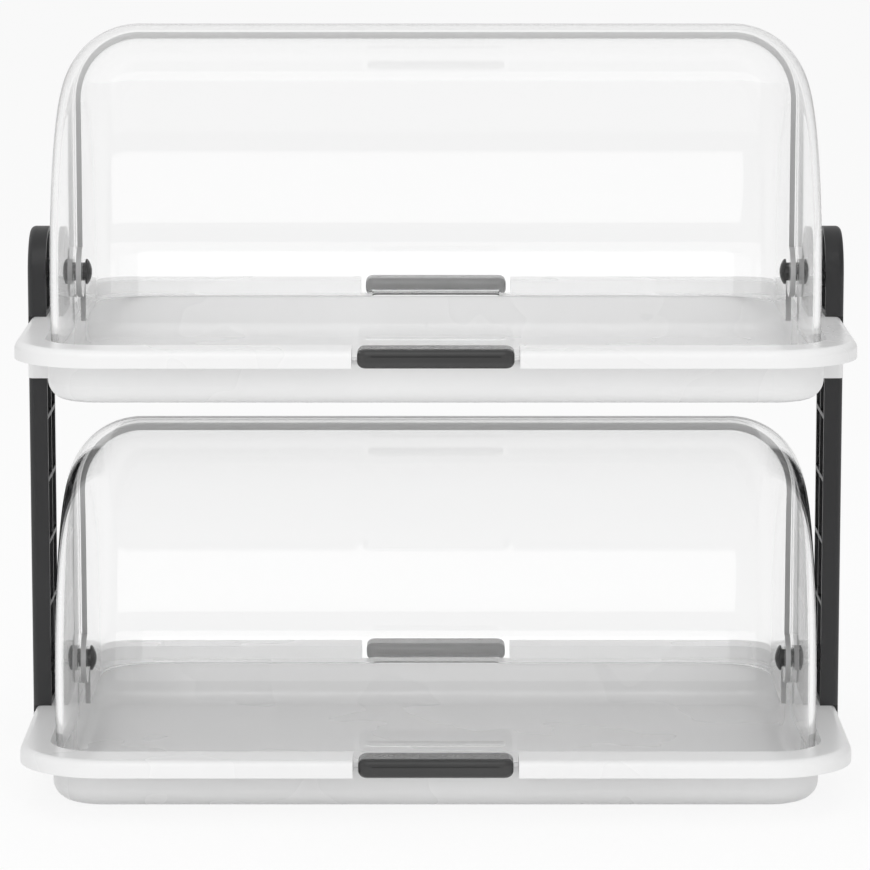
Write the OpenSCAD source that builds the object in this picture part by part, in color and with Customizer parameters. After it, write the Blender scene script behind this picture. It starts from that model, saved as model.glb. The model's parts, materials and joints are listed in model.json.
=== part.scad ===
// Countertop bread display bin, two trays one above the other, each closed by two clear swinging lids.
// Millimetres. X runs along the width, the front is at -Y, Z is up and the lower tray stands on Z = 0.
// Each lid is half of a barrel shell and swings about the same pair of side pivots as its partner.

/* [Tray] */
// Width of a tray over its rim
tray_w = 440; // [380:1:520]
// Depth of a tray over its rim
tray_d = 320; // [290:1:380]
// Height of a tray from its underside to the top of its rim
tray_h = 33.2; // [32:0.1:50]
// Plan radius of the rim corners
rim_corner = 46; // [40:1:60]
// Rounding of the outer top edge of the rim
rim_edge = 4; // [3:0.5:6]
// Height of the skirt that hangs from the rim
skirt_h = 9.2; // [8:0.1:14]
// Moulded wall of the tray
wall = 2.5; // [2:0.1:3.5]
// Depth from the rim top down to the ledge the lids rest on
ledge_drop = 7.6; // [6:0.1:9]
// Width of the rim from its side edge to the lid opening
side_land = 15.7; // [15:0.1:17]
// Width of the rim from its front edge to the lid opening
front_land = 22.5; // [21:0.5:26]
// Ledge inside the opening at the front and the rear
front_ledge = 13.5; // [10:0.5:16]
// Ledge inside the opening at the two sides
side_ledge = 2.8; // [2.5:0.1:4]
// Rounding between the tray floor and its walls, inside
floor_round = 7.5; // [5:0.5:12]
// Plan radius of the corners of the lid opening
open_corner = 28; // [20:0.5:32]
// Plan radius of the basin corners, inside
basin_corner = 25.5; // [18:0.5:30]

/* [Grips] */
// Width of a carrying grip
grip_w = 81; // [60:1:110]
// Height of a carrying grip
grip_h = 10.2; // [9.8:0.1:12]
// How far a grip stands out past the rim
grip_proud = 1; // [0.5:0.1:2]
// Rounding of the grip edges
grip_round = 3.6; // [2:0.1:4.5]
// Open gap at each end of a grip
grip_gap = 2.8; // [2:0.1:8]
// How far a grip stands above the rim
grip_rise = 0.7; // [0:0.1:2]
// Thickness of the tongue under a grip
tongue_t = 1.6; // [1.2:0.1:1.9]
// Wall of a grip round its tongue
tongue_back = 3; // [2:0.1:4]
// Height of the two pockets in the inner face of a grip
pocket_h = 3.4; // [2:0.1:4]
// Depth of those pockets
pocket_d = 6; // [2:0.5:12]

/* [Posts] */
// Depth of a column from front to back
post_d = 50; // [40:1:70]
// Thickness of a column from its inner edges to its outer face
post_t = 10; // [9:0.5:12]
// Outer plate of a column
post_plate = 4; // [3:0.1:5]
// Flange at the front and back edge of a column
post_flange = 3; // [2:0.1:5]
// How far the posts and their sockets stand out past the rim
post_proud = 1; // [0.5:0.1:2]
// Rounding of the outer edges of the posts
post_round = 3; // [1:0.5:3.5]
// Spacing of the cross ribs inside a column
rib_pitch = 34.5; // [20:0.5:60]
// Thickness of the ribs inside a column
rib_t = 2.4; // [1.5:0.1:4]
// Thickness of the tongue at each end of a post
tenon_t = 5; // [4:0.1:5.5]
// Wall of the socket outside a tongue
socket_wall = 3.4; // [3:0.1:3.6]
// Wall of the socket in front of a post and behind it
socket_end = 3; // [2.5:0.1:5]
// Length of the tongue at the foot of a post
foot_tenon = 18; // [12:1:18]
// Length of the tongue at the head of a column
head_tenon = 13; // [8:1:13]

/* [Lids] */
// Height of the pivots above the rim top
pivot_rise = 21.7; // [18:0.1:28]
// Wall of a clear lid
lid_wall = 3.5; // [2:0.1:3.8]
// Rounding between the curved and the flat walls of the outer lid
lid_round = 42; // [20:1:50]
// Running gap between the outer and the inner lid
lid_gap = 1.2; // [0.8:0.1:1.5]
// Gap left at each side between the outer lid and the opening
lid_side_gap = 1.3; // [1:0.1:1.6]
// Gap left at the front between the outer lid and the opening
lid_end_gap = 2.4; // [1:0.1:3]
// How far each lid reaches past the middle
lid_overlap = 2; // [1:0.5:5]
// Radius of the lid wall around its pivot
lobe_r = 14; // [11:0.5:16]
// Free height between the lower lids and the upper tray
headroom = 25.2; // [15:0.1:60]
// Width of the finger lip on a lid
lip_w = 72; // [40:1:120]
// Height of the outer finger lip above the rim
lip_rise = 2.5; // [1.5:0.1:5]
// Thickness of the outer finger lip
lip_t = 2; // [1.5:0.1:3]
// How far a finger lip stands off its lid
lip_out = 2.4; // [1.5:0.1:2.6]

/* [Pivots] */
// How far a stud reaches inside the outer face of the lids
stud_reach = 10; // [9:0.5:14]
// Diameter of the pivot shaft
shaft_d = 10; // [8:0.5:12]
// Diameter of the shoulder between a lid and its post
collar_d = 14; // [13:0.5:18]
// Diameter of the tail pressed into the post
tail_d = 6; // [4:0.5:7]
// Length of that tail inside the post
tail_len = 6; // [4:0.5:7]
// Length of the shank that snaps into a stud
shank_len = 7; // [4:0.5:8]
// Diameter of the round head that keeps the lids on
head_d = 13.8; // [13:0.1:18]
// Thickness of the round head
head_t = 3.8; // [2:0.1:6]

/* [Hidden] */
$fn = 96;
fit = 0.2;
running_fit = 0.05;
press = 0.05;
rest_gap = 0.15;
collar_gap = 0.6;
end_play = 0.5;
lap = 0.5;
over = 1;
skin = 0.2;
slot_roof = 8;
pocket_frame = 1.4;
corner_extra = 1.6;
groove_t = 0.9;
groove_cut = 0.6;
head_edge = 1.1;
half_w = tray_w / 2;
half_d = tray_d / 2;
ledge_z = tray_h - ledge_drop;
skirt_z = tray_h - skirt_h;
open_x = half_w - side_land;
open_y = half_d - front_land;
basin_x = open_x - side_ledge;
basin_y = open_y - front_ledge;
post_x = half_w + post_proud;
post_in = post_x - post_t;
tenon_out = post_x - socket_wall;
tenon_in = tenon_out - tenon_t;
tenon_half = post_d / 2 - post_flange;
socket_half = post_d / 2 + socket_end;
pivot_z = tray_h + pivot_rise;
lid_x = open_x - lid_side_gap;
lid_r = open_y - lid_end_gap;
lid_step = lid_wall + lid_gap;
lid_drop = pivot_z - ledge_z - rest_gap;
tier = pivot_z + lid_r + headroom;
notch_x = grip_w / 2 + grip_gap;
tongue_x = grip_w / 2 - tongue_back;
tongue_y = half_d - tongue_back;
grip_in = open_y + wall + fit;
grip_d = half_d + grip_proud - grip_in;
grip_z = tray_h + grip_rise - grip_h;
shaft_in = lid_x - stud_reach;

// Flat rectangle with round corners, centred.
module round_rect(hx, hy, r) {
  square([2 * hx, 2 * (hy - r)], center = true);
  square([2 * (hx - r), 2 * hy], center = true);
  for (sx = [-1, 1], sy = [-1, 1])
    translate([sx * (hx - r), sy * (hy - r)])
      circle(r);
}

// Upright outline from 0 to h with its two bottom corners rounded by f.
module soft_foot(half, h, f) {
  translate([-half, f])
    square([2 * half, h - f]);
  translate([-(half - f), 0])
    square([2 * (half - f), h]);
  for (s = [-1, 1])
    translate([s * (half - f), f])
      circle(f);
}

// Box with plan corners r and a rounding f all round its underside.
module soft_box(hx, hy, h, r, f) {
  rotate([90, 0, 0])
    linear_extrude(2 * (hy - r), center = true)
      soft_foot(hx, h, f);
  rotate([90, 0, 90])
    linear_extrude(2 * (hx - r), center = true)
      soft_foot(hy, h, f);
  for (sx = [-1, 1], sy = [-1, 1])
    translate([sx * (hx - r), sy * (hy - r), 0])
      rotate_extrude()
        intersection() {
          soft_foot(r, h, f);
          square([r + over, h]);
        }
}

// The same box turned over, so its top edge is the rounded one.
module soft_cap(hx, hy, h, r, f) {
  translate([0, 0, h])
    mirror([0, 0, 1])
      soft_box(hx, hy, h, r, f);
}

// Solid outline of the rim, skirt height tall.
module rim_block() {
  translate([0, 0, skirt_z])
    soft_cap(half_w, half_d, skirt_h, rim_corner, rim_edge);
}

// Socket at the middle of each side that takes the tongues of the posts.
module post_socket() {
  linear_extrude(tray_h - wall)
    translate([basin_x + wall / 2, -socket_half])
      square([half_w - rim_edge - basin_x - wall / 2, 2 * socket_half]);
  linear_extrude(tray_h - rim_edge) {
    translate([open_x, -(socket_half - post_round)])
      square([post_x - open_x, 2 * (socket_half - post_round)]);
    translate([open_x, -socket_half])
      square([post_x - open_x - post_round, 2 * socket_half]);
    for (s = [-1, 1])
      translate([post_x - post_round, s * (socket_half - post_round)])
        circle(post_round);
  }
}

// Slot right through a socket and the hollow beside it, open below.
module post_slot() {
  hollow_in = open_x + wall - skin;
  hollow_out = tenon_in - fit - wall;
  translate([tenon_in - fit, -tenon_half - fit, -over])
    cube([tenon_t + 2 * fit, 2 * (tenon_half + fit), tray_h + 2 * over]);
  translate([hollow_in, -(socket_half - wall), -over])
    cube([hollow_out - hollow_in, 2 * (socket_half - wall), tray_h - wall - slot_roof]);
}

// Material that closes the rim round the seat of a grip.
module grip_seat() {
  intersection() {
    rim_block();
    translate([-(notch_x + wall), open_y - lap, 0])
      cube([2 * (notch_x + wall), front_land + 2 * lap, tray_h + over]);
  }
}

// Space cut for a grip, down to the ledge inside and right through outside.
module grip_notch() {
  translate([-notch_x, open_y - over, ledge_z])
    cube([2 * notch_x, front_land + 2 * over, ledge_drop + over]);
  translate([-notch_x, open_y + wall, 0])
    cube([2 * notch_x, front_land, tray_h]);
}

// Tongue at ledge height that carries a grip.
module grip_tongue() {
  translate([-tongue_x, open_y + wall / 2, ledge_z - tongue_t])
    cube([2 * tongue_x, tongue_y - open_y - wall / 2, tongue_t]);
}

module tray() {
  color("white") {
    difference() {
      union() {
        difference() {
          rim_block();
          translate([0, 0, skirt_z - over])
            linear_extrude(skirt_h - wall + over)
              round_rect(half_w - wall, half_d - wall, rim_corner - wall);
        }
        translate([0, 0, ledge_z - wall])
          linear_extrude(ledge_drop + wall / 2)
            round_rect(open_x + wall, open_y + wall, open_corner + wall);
        soft_box(basin_x + wall, basin_y + wall, ledge_z, basin_corner + wall, floor_round + wall);
        grip_seat();
        mirror([0, 1, 0])
          grip_seat();
        post_socket();
        mirror([1, 0, 0])
          post_socket();
      }
      translate([0, 0, ledge_z])
        linear_extrude(ledge_drop + over)
          round_rect(open_x, open_y, open_corner);
      translate([0, 0, wall])
        soft_box(basin_x, basin_y, tray_h, basin_corner, floor_round);
      post_slot();
      mirror([1, 0, 0])
        post_slot();
      grip_notch();
      mirror([0, 1, 0])
        grip_notch();
    }
    grip_tongue();
    mirror([0, 1, 0])
      grip_tongue();
  }
}

// Carrying grip set over the tongue at the rear of a tray, with a slot open below for the tongue.
module grip() {
  corner = grip_round + corner_extra;
  pocket_out = grip_w / 2 - corner;
  color("dimgray")
    difference() {
      translate([0, grip_in + grip_d / 2, grip_z]) {
        soft_box(grip_w / 2, grip_d / 2, grip_h / 2, corner, grip_round);
        translate([0, 0, grip_h / 2])
          soft_cap(grip_w / 2, grip_d / 2, grip_h / 2, corner, grip_round);
      }
      translate([-(tongue_x + fit), grip_in - over, grip_z - over])
        cube([2 * (tongue_x + fit), tongue_y + fit - grip_in + over, ledge_z + fit / 2 - grip_z + over]);
      for (s = [-1, 1])
        translate([s * (pocket_out + pocket_frame) / 2, grip_in, ledge_z + pocket_frame + pocket_h / 2])
          cube([pocket_out - pocket_frame, 2 * pocket_d, pocket_h], center = true);
      translate([0, grip_in + grip_d, tray_h + grip_rise - grip_round])
        cube([grip_w - 4 * grip_round, 2 * groove_cut, groove_t], center = true);
    }
}

// Plan section shared by the columns and the uprights, open on its inner side.
module post_section() {
  difference() {
    union() {
      translate([post_in, -post_d / 2])
        square([post_t - post_round, post_d]);
      translate([post_in, -(post_d / 2 - post_round)])
        square([post_t, post_d - 2 * post_round]);
      for (s = [-1, 1])
        translate([post_x - post_round, s * (post_d / 2 - post_round)])
          circle(post_round);
    }
    translate([post_in - over, -(post_d / 2 - post_flange)])
      square([post_t - post_plate + over, post_d - 2 * post_flange]);
  }
}

// Tongue and shaped toe at the foot of a post, ending at the rim top.
module post_foot() {
  translate([tenon_in, -tenon_half + fit, tray_h - foot_tenon])
    cube([tenon_t, 2 * (tenon_half - fit), foot_tenon + over]);
  rotate([90, 0, 0])
    linear_extrude(post_d - 2 * post_round, center = true)
      difference() {
        translate([tenon_out - lap, tray_h - rim_edge + press])
          square([post_x - tenon_out + lap, rim_edge]);
        translate([half_w - rim_edge, tray_h - rim_edge])
          circle(rim_edge + press);
      }
}

// Stiffening inside a post between two heights, with the boss for a stud.
module post_ribs(z0, z1, boss_z) {
  depth = post_t - post_plate;
  translate([post_in, -rib_t / 2, z0])
    cube([depth, rib_t, z1 - z0]);
  for (z = [boss_z : rib_pitch : z1 - rib_pitch / 3])
    translate([post_in, -tenon_half, z - rib_t / 2])
      cube([depth, 2 * tenon_half, rib_t]);
  translate([post_in, -tenon_half, z0])
    cube([depth, 2 * tenon_half, post_flange]);
  translate([post_in, 0, boss_z])
    rotate([0, 90, 0])
      cylinder(h = depth, d = collar_d + 2);
}

// Blind bore for the tail of a stud.
module tail_bore(z) {
  translate([post_in - over, 0, z])
    rotate([0, 90, 0])
      cylinder(h = tail_len + end_play + over, d = tail_d + 2 * press);
}

module column() {
  color("#2b2c2e")
    difference() {
      union() {
        translate([0, 0, tray_h])
          linear_extrude(tier - tray_h)
            post_section();
        post_ribs(tray_h, tier, pivot_z);
        translate([post_in, -tenon_half, tier - post_flange])
          cube([post_t - post_plate, 2 * tenon_half, post_flange]);
        post_foot();
        translate([tenon_in, -tenon_half + fit, tier - over])
          cube([tenon_t, 2 * (tenon_half - fit), head_tenon + over]);
      }
      tail_bore(pivot_z);
    }
}

// Round-topped disc of the upright, centred on the pivot, hollow on its inner side.
module upright_disc() {
  r = post_d / 2;
  translate([post_in, 0, pivot_z])
    rotate([0, 90, 0])
      difference() {
        rotate_extrude() {
          square([r, post_t - post_round]);
          square([r - post_round, post_t]);
          translate([r - post_round, post_t - post_round])
            circle(post_round);
        }
        translate([0, 0, -over])
          cylinder(h = post_t - post_plate + over, r = r - post_flange);
      }
}

module upright() {
  color("#2b2c2e")
    difference() {
      union() {
        intersection() {
          union() {
            translate([0, 0, tray_h])
              linear_extrude(pivot_rise)
                post_section();
            difference() {
              upright_disc();
              translate([post_in - over, -tenon_half, tray_h - post_d])
                cube([post_t - post_plate + over, 2 * tenon_half, post_d + pivot_rise]);
            }
          }
          translate([post_in - over, -post_d, tray_h])
            cube([post_t + 2 * over, 2 * post_d, pivot_rise + post_d]);
        }
        post_ribs(tray_h, pivot_z + tenon_half, pivot_z);
        post_foot();
      }
      tail_bore(pivot_z);
    }
}

// Closed barrel about the X axis through the pivots.
module barrel(hx, r, f) {
  rotate([0, 90, 0])
    rotate_extrude($fn = 180) {
      translate([0, -hx])
        square([r - f, 2 * hx]);
      translate([0, -(hx - f)])
        square([r, 2 * (hx - f)]);
      for (s = [-1, 1])
        translate([r - f, s * (hx - f)])
          circle(f);
    }
}

// Shell of a lid seen from its right side, its free edge at the front.
module lid(inset) {
  difference() {
    intersection() {
      difference() {
        barrel(lid_x - inset, lid_r - inset, lid_round - inset);
        barrel(lid_x - inset - lid_wall, lid_r - inset - lid_wall, lid_round - inset - lid_wall);
      }
      rotate([90, 0, 90])
        linear_extrude(tray_w, center = true) {
          translate([-lid_r - over, 0])
            square([lid_r + over + lid_overlap, lid_r + over]);
          translate([-lid_r - over, -lid_drop])
            square([lid_r + over - lobe_r, lid_drop + over]);
          circle(lobe_r);
        }
    }
    rotate([0, 90, 0])
      cylinder(h = tray_w, d = shaft_d + 2 * running_fit, center = true);
  }
}

// Outer lid, with a finger lip outside just above the rim.
module front_lid() {
  lip_z = lip_rise - pivot_rise;
  lip_y = sqrt(lid_r * lid_r - lip_z * lip_z);
  color([0.85, 0.9, 0.92, 0.35])
    translate([0, 0, pivot_z]) {
      lid(0);
      translate([0, -lip_y, lip_z])
        linear_extrude(lip_t)
          round_rect(lip_w / 2, lip_out, lip_out - fit);
    }
}

// Inner lid, with its finger lip turned inwards at the free edge.
module rear_lid() {
  lip_y = sqrt((lid_r - lid_step) * (lid_r - lid_step) - lid_drop * lid_drop);
  color([0.85, 0.9, 0.92, 0.35])
    mirror([0, 1, 0])
      translate([0, 0, pivot_z]) {
        lid(lid_step);
        translate([0, -lip_y + lid_wall + lip_out / 2, -lid_drop])
          linear_extrude(lid_wall)
            round_rect(lip_w / 2, lip_out, lip_out - fit);
      }
}

// Pivot stud from the post through both lid walls.
module stud() {
  collar_in = lid_x + collar_gap;
  color("#232426")
    translate([0, 0, pivot_z])
      rotate([0, 90, 0])
        difference() {
          union() {
            translate([0, 0, shaft_in])
              cylinder(h = post_in - shaft_in, d = shaft_d);
            translate([0, 0, collar_in])
              cylinder(h = post_in - collar_in, d = collar_d);
            translate([0, 0, post_in - over])
              cylinder(h = tail_len + over, d = tail_d);
          }
          translate([0, 0, shaft_in - over])
            cylinder(h = shank_len + end_play + over, d = shaft_d / 2 + 2 * press);
        }
}

// Round head with its shank, which closes the stud from inside.
module knob() {
  bulge = head_t - head_edge;
  dome_r = (head_d * head_d / 4 + bulge * bulge) / (2 * bulge);
  color("#232426")
    translate([0, 0, pivot_z])
      rotate([0, 90, 0]) {
        translate([0, 0, shaft_in - head_t])
          rotate_extrude() {
            translate([0, bulge])
              square([head_d / 2, head_edge]);
            intersection() {
              translate([0, dome_r])
                circle(dome_r);
              square([head_d / 2, bulge]);
            }
          }
        translate([0, 0, shaft_in - head_edge / 2])
          cylinder(h = shank_len + head_edge / 2, d = shaft_d / 2);
      }
}

module left() {
  mirror([1, 0, 0])
    children();
}

module up() {
  translate([0, 0, tier])
    children();
}

module lower_tray() {
  tray();
}

module upper_tray() {
  up()
    tray();
}

lower_tray();
upper_tray();
left() column();  // left_column
column();  // right_column
up() left() upright();  // left_upright
up() upright();  // right_upright
mirror([0, 1, 0]) grip();  // lower_front_grip
grip();  // lower_rear_grip
up() mirror([0, 1, 0]) grip();  // upper_front_grip
up() grip();  // upper_rear_grip
front_lid();  // lower_front_lid
rear_lid();  // lower_rear_lid
up() front_lid();  // upper_front_lid
up() rear_lid();  // upper_rear_lid
left() stud();  // lower_left_stud
stud();  // lower_right_stud
up() left() stud();  // upper_left_stud
up() stud();  // upper_right_stud
left() knob();  // lower_left_knob
knob();  // lower_right_knob
up() left() knob();  // upper_left_knob
up() knob();  // upper_right_knob
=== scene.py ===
"""Looks of the two-tier countertop bread display bin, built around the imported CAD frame.

Metres. X runs along the width, the front is at -Y and Z is up. The clear lids are rebuilt as smooth
shells, and every other CAD piece keeps its own solid and gets a procedural moulded-plastic material.
"""

import json
import math

import bmesh
import bpy
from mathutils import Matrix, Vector


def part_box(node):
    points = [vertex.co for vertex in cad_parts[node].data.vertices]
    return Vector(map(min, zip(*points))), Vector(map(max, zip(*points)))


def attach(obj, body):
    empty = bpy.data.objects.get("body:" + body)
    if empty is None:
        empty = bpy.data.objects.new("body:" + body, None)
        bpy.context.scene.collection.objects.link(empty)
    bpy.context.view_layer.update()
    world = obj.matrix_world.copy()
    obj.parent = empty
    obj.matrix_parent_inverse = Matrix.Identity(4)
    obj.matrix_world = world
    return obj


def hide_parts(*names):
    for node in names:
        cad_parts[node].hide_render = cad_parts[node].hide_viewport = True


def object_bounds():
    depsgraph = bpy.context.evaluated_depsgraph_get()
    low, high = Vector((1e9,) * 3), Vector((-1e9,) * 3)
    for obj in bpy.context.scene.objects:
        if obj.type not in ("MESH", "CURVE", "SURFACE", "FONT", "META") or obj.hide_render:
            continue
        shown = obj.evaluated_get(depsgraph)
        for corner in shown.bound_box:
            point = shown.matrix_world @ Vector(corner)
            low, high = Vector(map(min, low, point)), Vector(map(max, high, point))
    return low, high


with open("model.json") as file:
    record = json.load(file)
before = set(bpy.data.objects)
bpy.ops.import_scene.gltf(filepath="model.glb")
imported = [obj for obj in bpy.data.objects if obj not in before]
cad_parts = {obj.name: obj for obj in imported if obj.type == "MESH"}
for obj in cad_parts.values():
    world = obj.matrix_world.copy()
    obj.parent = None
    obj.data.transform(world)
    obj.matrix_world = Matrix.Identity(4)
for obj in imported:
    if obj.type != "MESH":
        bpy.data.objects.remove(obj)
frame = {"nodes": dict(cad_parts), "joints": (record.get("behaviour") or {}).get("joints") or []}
cad_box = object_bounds()

MM = 0.001
TIERS = ("lower", "upper")
ENDS = ("front", "rear")
SIDES = ("left", "right")

# The photograph's camera: eye in the mid-plane, long lens, looking slightly down.
EYE = Vector((0.0, -2.4618, 0.5667))
PITCH = math.radians(8.935)
FOCAL_PX = 4535.5
FRAME_PX = 870.0
SENSOR_MM = 36.0
CENTRE_OFF_PX = 0.8
CLIP_END = 100.0

# Clear lids, with the sizes of their CAD nodes. The rounding is that of the outer lid's outer surface.
LID_WALL = 3.5 * MM
LID_ROUND = 42 * MM
LID_OVERLAP = 2 * MM
LOBE_R = 14 * MM
LOBE_END = 1.5 * math.pi
BORE_R = 5.05 * MM

# Finger lips: half their length, their soft ends, and the place and size of each one's bulge.
LIP_HALF = 36 * MM
LIP_RAMP = 2.6 * MM
LIP_SPILL = 0.4 * MM
FRONT_LIP_Z = -18.2 * MM
FRONT_LIP_OUT = 2.3 * MM
FRONT_LIP_HALF_T = 1.25 * MM
REAR_LIP_IN = 3.2 * MM

# Steps of a lid's mesh, and in millimetres the stops at the end of a lip and the rows along it.
ROUND_STEPS = 26
WIDTH_STEPS = 36
SWEEP_STEPS = 150
LOBE_STEPS = 40
BORE_STEPS = 64
LIP_STOPS = (-3, -2, -1, -0.3, 0.4)
LIP_ROWS = 8
LIP_ROW_STEP = 0.25
LEAST_ROW = 2e-4
SHARP_ANGLE = math.radians(35)

# Plastics: the noise values between which a surface changes, and the scale of each noise.
NOISE_SPAN = (0.3, 0.7)
NOISE_ROUGHNESS = 0.5
CLOUD_SCALE = 9.0
CLOUD_DETAIL = 3.0
HAZE_SCALE = 14.0
GRAIN_DETAIL = 2.0
GRAIN_STRENGTH = 0.35
PLASTIC_IOR = 1.5
LID_IOR = 1.35
LID_DENSITY = 3.5
LID_LETS_THROUGH = 0.99

# Studio seen in glossy surfaces: the way it gets brighter, and its levels at the dim and bright ends.
BRIGHT_WAY = (-0.5, 0.5, 0.0)
LEAN_SPAN = (-0.25, 0.5)
DIM_ROOM = 0.3
BRIGHT_ROOM = 0.78

# Plain light on matt surfaces.
ROOM_LIGHT = 0.62

# White floor: its own colour, the share of plain white mixed in, its reach and its gap below the trays.
FLOOR_COLOUR = 0.98
FLOOR_SHARE = 0.86
FLOOR_HALF = 8.0
FLOOR_FRONT = -1.0
FLOOR_DROP = 0.0002


def joint_height(tier):
    """Height of a tier's pivot line."""
    for joint in frame["joints"]:
        if joint["name"].startswith(tier):
            return joint["pos_m"][2]
    raise ValueError(tier)


# Shader nodes


def grey(value):
    """Opaque neutral colour."""
    return (value, value, value, 1.0)


def new_material(name):
    """An empty node material with its output node."""
    mat = bpy.data.materials.new(name)
    mat.use_nodes = True
    tree = mat.node_tree
    tree.nodes.clear()
    out = tree.nodes.new("ShaderNodeOutputMaterial")
    return mat, tree, out


def object_noise(tree, scale, detail):
    """Noise over the object's own coordinates."""
    coords = tree.nodes.new("ShaderNodeTexCoord")
    noise = tree.nodes.new("ShaderNodeTexNoise")
    noise.inputs["Scale"].default_value = scale
    noise.inputs["Detail"].default_value = detail
    noise.inputs["Roughness"].default_value = NOISE_ROUGHNESS
    tree.links.new(coords.outputs["Object"], noise.inputs["Vector"])
    return noise.outputs["Fac"]


def ramp(tree, source, low, high):
    """Colour that runs from low to high over the noise."""
    node = tree.nodes.new("ShaderNodeValToRGB")
    for stop, position, colour in zip(node.color_ramp.elements, NOISE_SPAN, (low, high)):
        stop.position = position
        stop.color = (*colour, 1.0)
    tree.links.new(source, node.inputs["Fac"])
    return node.outputs["Color"]


def mapped(tree, source, span, low, high):
    """The source value mapped from its span to low..high and clamped there."""
    node = tree.nodes.new("ShaderNodeMapRange")
    node.inputs["From Min"].default_value = span[0]
    node.inputs["From Max"].default_value = span[1]
    node.inputs["To Min"].default_value = low
    node.inputs["To Max"].default_value = high
    tree.links.new(source, node.inputs["Value"])
    return node.outputs["Result"]


def maths(tree, operation, a, b, clamp=False):
    """A sum on two values, each of them a node's output or a number."""
    node = tree.nodes.new("ShaderNodeMath")
    node.operation = operation
    node.use_clamp = clamp
    for socket, value in zip(node.inputs, (a, b)):
        if isinstance(value, float):
            socket.default_value = value
        else:
            tree.links.new(value, socket)
    return node.outputs["Value"]


def mixed(tree, share, first, second):
    """The first shader, with the given share of the second."""
    mix = tree.nodes.new("ShaderNodeMixShader")
    tree.links.new(share, mix.inputs["Fac"])
    tree.links.new(first, mix.inputs[1])
    tree.links.new(second, mix.inputs[2])
    return mix.outputs["Shader"]


# Materials


def moulded_plastic(name, dark, pale, rough, grain_scale, grain_depth, shine):
    """Moulded plastic: slow colour and gloss variation with a fine moulding grain."""
    mat, tree, out = new_material(name)
    bsdf = tree.nodes.new("ShaderNodeBsdfPrincipled")
    cloud = object_noise(tree, CLOUD_SCALE, CLOUD_DETAIL)
    grain = object_noise(tree, grain_scale, GRAIN_DETAIL)
    tree.links.new(ramp(tree, cloud, dark, pale), bsdf.inputs["Base Color"])
    tree.links.new(mapped(tree, cloud, NOISE_SPAN, *rough), bsdf.inputs["Roughness"])
    bump = tree.nodes.new("ShaderNodeBump")
    bump.inputs["Strength"].default_value = GRAIN_STRENGTH
    bump.inputs["Distance"].default_value = grain_depth
    tree.links.new(grain, bump.inputs["Height"])
    tree.links.new(bump.outputs["Normal"], bsdf.inputs["Normal"])
    bsdf.inputs["IOR"].default_value = PLASTIC_IOR
    bsdf.inputs["Specular IOR Level"].default_value = shine
    tree.links.new(bsdf.outputs["BSDF"], out.inputs["Surface"])
    return mat


def clear_plastic(name, tint, rough, clearness):
    """Clear plastic, faintly grey in its thickness, that lets light through to the trays."""
    mat, tree, out = new_material(name)
    bsdf = tree.nodes.new("ShaderNodeBsdfPrincipled")
    bsdf.inputs["Base Color"].default_value = grey(tint)
    bsdf.inputs["Transmission Weight"].default_value = clearness
    bsdf.inputs["IOR"].default_value = LID_IOR
    haze = object_noise(tree, HAZE_SCALE, CLOUD_DETAIL)
    tree.links.new(mapped(tree, haze, NOISE_SPAN, *rough), bsdf.inputs["Roughness"])
    through = tree.nodes.new("ShaderNodeBsdfTransparent")
    through.inputs["Color"].default_value = grey(LID_LETS_THROUGH)
    path = tree.nodes.new("ShaderNodeLightPath")
    passes = maths(tree, "MAXIMUM", path.outputs["Is Shadow Ray"], path.outputs["Is Diffuse Ray"])
    surface = mixed(tree, passes, bsdf.outputs["BSDF"], through.outputs["BSDF"])
    tree.links.new(surface, out.inputs["Surface"])
    absorb = tree.nodes.new("ShaderNodeVolumeAbsorption")
    absorb.inputs["Color"].default_value = grey(0.0)
    absorb.inputs["Density"].default_value = LID_DENSITY
    tree.links.new(absorb.outputs["Volume"], out.inputs["Volume"])
    return mat


def floor_material():
    """White floor that shows near white to the eye and in clear and glossy pieces, with the soft shadow."""
    mat, tree, out = new_material("sweep_white")
    diffuse = tree.nodes.new("ShaderNodeBsdfDiffuse")
    diffuse.inputs["Color"].default_value = grey(FLOOR_COLOUR)
    glow = tree.nodes.new("ShaderNodeEmission")
    glow.inputs["Strength"].default_value = 1.0
    path = tree.nodes.new("ShaderNodeLightPath")
    seen = maths(tree, "ADD", path.outputs["Is Camera Ray"], path.outputs["Is Glossy Ray"])
    seen = maths(tree, "ADD", seen, path.outputs["Is Transmission Ray"], clamp=True)
    share = maths(tree, "MULTIPLY", seen, FLOOR_SHARE)
    surface = mixed(tree, share, diffuse.outputs["BSDF"], glow.outputs["Emission"])
    tree.links.new(surface, out.inputs["Surface"])
    return mat


WHITE = moulded_plastic(
    "tray_white", dark=(0.83, 0.83, 0.83), pale=(0.86, 0.86, 0.86), rough=(0.24, 0.32),
    grain_scale=1400.0, grain_depth=0.00004, shine=0.5
)
BLACK = moulded_plastic(
    "post_black", dark=(0.02, 0.02, 0.021), pale=(0.026, 0.026, 0.027), rough=(0.36, 0.48),
    grain_scale=2200.0, grain_depth=0.00012, shine=0.5
)
GREY = moulded_plastic(
    "grip_grey", dark=(0.046, 0.046, 0.046), pale=(0.058, 0.058, 0.058), rough=(0.2, 0.28),
    grain_scale=2600.0, grain_depth=0.00006, shine=0.28
)
PIVOT = moulded_plastic(
    "pivot_black", dark=(0.004, 0.004, 0.004), pale=(0.007, 0.007, 0.007), rough=(0.14, 0.22),
    grain_scale=1500.0, grain_depth=0.00003, shine=0.14
)
CLEAR = clear_plastic("lid_clear", tint=1.0, rough=(0.0, 0.012), clearness=1.0)
EDGE = clear_plastic("lid_cut_edge", tint=0.7, rough=(0.3, 0.4), clearness=0.55)


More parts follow.
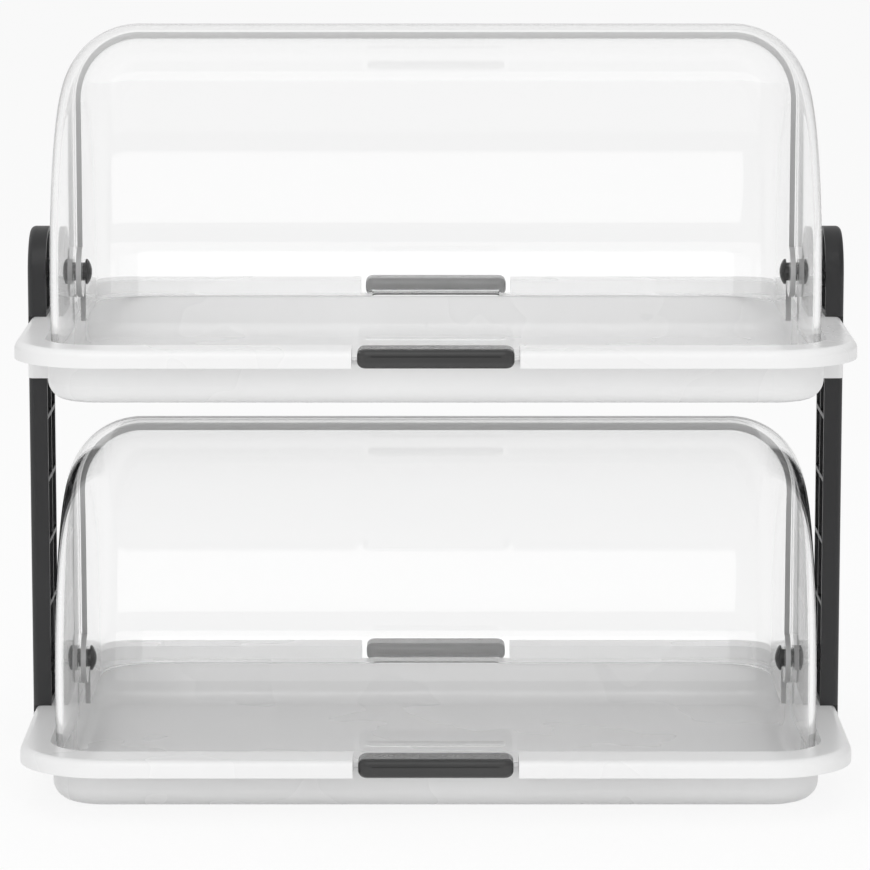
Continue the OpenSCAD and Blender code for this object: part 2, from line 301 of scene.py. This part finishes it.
def dress(node, mat):
    """Gives a CAD node one of the scene's materials."""
    obj = frame["nodes"][node]
    obj.data.materials.clear()
    obj.data.materials.append(mat)


def dress_frame():
    """Materials of every CAD piece that stays in view."""
    for tier in TIERS:
        dress(f"{tier}_tray", WHITE)
        for end in ENDS:
            dress(f"{tier}_{end}_grip", GREY)
        for side in SIDES:
            dress(f"{tier}_{side}_stud", PIVOT)
            dress(f"{tier}_{side}_knob", PIVOT)
    for side in SIDES:
        dress(f"{side}_column", BLACK)
        dress(f"{side}_upright", BLACK)


# Lids


def lid_profile(half_x, radius, fillet):
    """Points (x, rho) of a barrel's meridian from its left flat wall to its right one."""
    straight = half_x - fillet
    left = []
    for i in range(ROUND_STEPS + 1):
        a = math.pi / 2 * i / ROUND_STEPS
        left.append((-straight - fillet * math.cos(a), radius - fillet + fillet * math.sin(a)))
    stops = [-straight + straight * 2 * i / WIDTH_STEPS for i in range(1, WIDTH_STEPS)]
    stops += [s * (LIP_HALF + d * MM) for s in (-1, 1) for d in LIP_STOPS]
    crest = [(x, radius) for x in sorted(stops)]
    return left + crest + [(-x, rho) for x, rho in reversed(left)]


def lid_rows(radius, drop, lip_z):
    """Shares of the sweep from the free edge to the seam, closer together at the lip."""
    start = -math.asin(drop / radius)
    end = math.pi / 2 + math.asin(LID_OVERLAP / radius)
    rows = [i / SWEEP_STEPS for i in range(SWEEP_STEPS + 1)]
    for i in range(-LIP_ROWS, LIP_ROWS + 1):
        z = lip_z + i * LIP_ROW_STEP * MM
        if -drop < z:
            rows.append((math.asin(z / radius) - start) / (end - start))
    rows = sorted(r for r in rows if 0 <= r <= 1)
    kept = [rows[0]]
    for r in rows[1:]:
        if r - kept[-1] > LEAST_ROW:
            kept.append(r)
    kept[-1] = 1.0
    return kept


def lip_form(lip_z, height, half_t):
    """How far a finger lip stands off the wall, as a function of a point's x and z."""

    def stand_off(x, z):
        along = max(0.0, min(1.0, (LIP_HALF + LIP_SPILL - abs(x)) / LIP_RAMP))
        across = max(0.0, 1.0 - (abs(z - lip_z) / half_t) ** 4)
        return height * math.sqrt(math.sin(along * math.pi / 2)) * across ** 0.5

    return stand_off


def sweep_grid(bm, profile, rows, drop, lip):
    """Vertices of one surface of a lid, one column for each profile point."""
    grid = []
    for x, rho in profile:
        start = -math.asin(drop / rho)
        end = math.pi / 2 + math.asin(LID_OVERLAP / rho)
        column = []
        for r in rows:
            a = start + (end - start) * r
            reach = rho + (lip(x, rho * math.sin(a)) if lip else 0.0)
            column.append(bm.verts.new((x, -reach * math.cos(a), reach * math.sin(a))))
        grid.append(column)
    return grid


def side_wall(bm, x, arc, drop):
    """Flat side wall between the arc it shares with the grid, the lobe round the pivot and the bore."""
    lobe_start = math.asin(LID_OVERLAP / LOBE_R)
    points = []
    for i in range(LOBE_STEPS + 1):
        a = lobe_start + (LOBE_END - lobe_start) * i / LOBE_STEPS
        points.append((LOBE_R * math.sin(a), LOBE_R * math.cos(a)))
    points.append((-LOBE_R, -drop))
    verts = [bm.verts.new((x, y, z)) for y, z in points]
    loop = list(arc) + verts
    edges = []
    for i, v in enumerate(loop):
        w = loop[(i + 1) % len(loop)]
        edges.append(bm.edges.get((v, w)) or bm.edges.new((v, w)))
    bore = []
    for i in range(BORE_STEPS):
        a = i * math.tau / BORE_STEPS
        bore.append(bm.verts.new((x, BORE_R * math.cos(a), BORE_R * math.sin(a))))
    for i, v in enumerate(bore):
        edges.append(bm.edges.new((v, bore[(i + 1) % BORE_STEPS])))
    bmesh.ops.triangle_fill(bm, use_beauty=True, use_dissolve=False, edges=edges)
    return verts, bore


def skin(bm, a, b, closed=False, cut=False):
    """Faces between two rows of vertices of the same count, marked where they are a cut edge."""
    n = len(a)
    for i in range(n if closed else n - 1):
        j = (i + 1) % n
        bm.faces.new((a[i], a[j], b[j], b[i])).material_index = int(cut)


def lid_shell(half_x, radius, fillet, drop, front):
    """Closed shell about the pivot line, its free edge at the front, with its finger lip."""
    lip_z = FRONT_LIP_Z if front else -drop + LID_WALL / 2
    outer_lip = lip_form(lip_z, FRONT_LIP_OUT, FRONT_LIP_HALF_T) if front else None
    inner_lip = None if front else lip_form(lip_z, -REAR_LIP_IN, LID_WALL / 2)
    inner_x = half_x - LID_WALL
    bm = bmesh.new()
    rows = lid_rows(radius, drop, lip_z)
    outer_profile = lid_profile(half_x, radius, fillet)
    inner_profile = lid_profile(inner_x, radius - LID_WALL, fillet - LID_WALL)
    outer = sweep_grid(bm, outer_profile, rows, drop, outer_lip)
    inner = sweep_grid(bm, inner_profile, rows, drop, inner_lip)
    for grid in (outer, inner):
        for a, b in zip(grid, grid[1:]):
            skin(bm, a, b)
    for k in (0, -1):
        skin(bm, [c[k] for c in outer], [c[k] for c in inner], cut=True)
    for k, s in ((0, -1), (-1, 1)):
        out_edge, out_bore = side_wall(bm, s * half_x, outer[k], drop)
        in_edge, in_bore = side_wall(bm, s * inner_x, inner[k], drop)
        out_row = [outer[k][-1], *out_edge, outer[k][0]]
        in_row = [inner[k][-1], *in_edge, inner[k][0]]
        skin(bm, out_row, in_row, cut=True)
        skin(bm, out_bore, in_bore, closed=True, cut=True)
    bmesh.ops.recalc_face_normals(bm, faces=bm.faces)
    return bm


def build_lid(name, tier, end):
    """Smooth shell in the place of one CAD lid."""
    node = f"{tier}_{end}_lid"
    low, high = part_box(node)
    pivot_z = joint_height(tier)
    front = end == "front"
    step = 0.0 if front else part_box(f"{tier}_front_lid")[1].x - high.x
    bm = lid_shell(high.x, high.z - pivot_z, LID_ROUND - step, pivot_z - low.z, front)
    if not front:
        for v in bm.verts:
            v.co.y = -v.co.y
        bmesh.ops.reverse_faces(bm, faces=bm.faces)
    for v in bm.verts:
        v.co.z += pivot_z
    mesh = bpy.data.meshes.new(name)
    bm.to_mesh(mesh)
    bm.free()
    mesh.shade_smooth()
    mesh.set_sharp_from_angle(angle=SHARP_ANGLE)
    mesh.materials.append(CLEAR)
    mesh.materials.append(EDGE)
    obj = bpy.data.objects.new(name, mesh)
    bpy.context.scene.collection.objects.link(obj)
    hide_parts(node)
    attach(obj, node)


def build_lids():
    """The four clear lids."""
    for tier in TIERS:
        for end in ENDS:
            build_lid(f"{tier}_{end}_clear_lid", tier, end)


# Stage, light and camera


def build_floor():
    """White floor that ends a little in front of the object and runs far back."""
    mesh = bpy.data.meshes.new("sweep")
    corners = [
        (-FLOOR_HALF, FLOOR_FRONT, 0),
        (FLOOR_HALF, FLOOR_FRONT, 0),
        (FLOOR_HALF, FLOOR_HALF, 0),
        (-FLOOR_HALF, FLOOR_HALF, 0),
    ]
    mesh.from_pydata(corners, [], [(0, 1, 2, 3)])
    mesh.materials.append(floor_material())
    floor = bpy.data.objects.new("sweep", mesh)
    floor.location.z = cad_box[0][2] - FLOOR_DROP
    bpy.context.scene.collection.objects.link(floor)


def build_world():
    """White to the eye and through clear pieces, for gloss a studio that falls off to the front.

    Matt surfaces get a plain light.
    """
    world = bpy.data.worlds.new("studio")
    bpy.context.scene.world = world
    world.use_nodes = True
    tree = world.node_tree
    tree.nodes.clear()
    out = tree.nodes.new("ShaderNodeOutputWorld")
    coords = tree.nodes.new("ShaderNodeTexCoord")
    lean = tree.nodes.new("ShaderNodeVectorMath")
    lean.operation = "DOT_PRODUCT"
    lean.inputs[1].default_value = BRIGHT_WAY
    tree.links.new(coords.outputs["Generated"], lean.inputs[0])
    room = mapped(tree, lean.outputs["Value"], LEAN_SPAN, DIM_ROOM, BRIGHT_ROOM)
    path = tree.nodes.new("ShaderNodeLightPath")
    strength = maths(tree, "MAXIMUM", path.outputs["Is Camera Ray"], path.outputs["Is Transmission Ray"])
    gloss = maths(tree, "MULTIPLY", path.outputs["Is Glossy Ray"], room)
    strength = maths(tree, "MAXIMUM", strength, gloss)
    matt = maths(tree, "MULTIPLY", path.outputs["Is Diffuse Ray"], ROOM_LIGHT)
    strength = maths(tree, "MAXIMUM", strength, matt)
    sky = tree.nodes.new("ShaderNodeBackground")
    sky.inputs["Color"].default_value = grey(1.0)
    tree.links.new(strength, sky.inputs["Strength"])
    tree.links.new(sky.outputs["Background"], out.inputs["Surface"])


def softbox(name, centre, target, width, height, radiance, glossy):
    """Rectangular area light of a plain brightness, facing its target."""
    data = bpy.data.lights.new(name, "AREA")
    data.shape = "RECTANGLE"
    data.size = width
    data.size_y = height
    data.energy = radiance * math.pi * width * height
    lamp = bpy.data.objects.new(name, data)
    lamp.location = centre
    lamp.rotation_euler = (Vector(target) - Vector(centre)).to_track_quat("-Z", "Y").to_euler()
    lamp.visible_glossy = glossy
    bpy.context.scene.collection.objects.link(lamp)


def build_lights():
    """The big front panel that shows as the bright band on the lids, a top panel and a low frontal fill."""
    softbox(
        "front_panel", centre=(-0.39, -1.76, 2.025), target=(-0.39, -0.494, 0.479),
        width=1.525, height=1.5, radiance=1.4, glossy=True
    )
    softbox(
        "top_panel", centre=(0.0, 0.1, 2.6), target=(0.0, 0.0, 0.2),
        width=2.2, height=1.6, radiance=0.85, glossy=False
    )
    softbox(
        "low_fill", centre=(0.0, -2.9, 0.7), target=(0.0, 0.0, 0.2),
        width=3.0, height=1.2, radiance=2.2, glossy=False
    )


def build_camera():
    """The photograph's camera."""
    data = bpy.data.cameras.new("view")
    data.sensor_fit = "HORIZONTAL"
    data.sensor_width = SENSOR_MM
    data.lens = FOCAL_PX / FRAME_PX * SENSOR_MM
    data.shift_x = -CENTRE_OFF_PX / FRAME_PX
    data.clip_end = CLIP_END
    cam = bpy.data.objects.new("view", data)
    cam.location = EYE
    cam.rotation_euler = (math.pi / 2 - PITCH, 0.0, 0.0)
    bpy.context.scene.collection.objects.link(cam)
    bpy.context.scene.camera = cam


bpy.context.scene.view_settings.view_transform = "Standard"
build_camera()
dress_frame()
build_lids()
build_floor()
build_world()
build_lights()
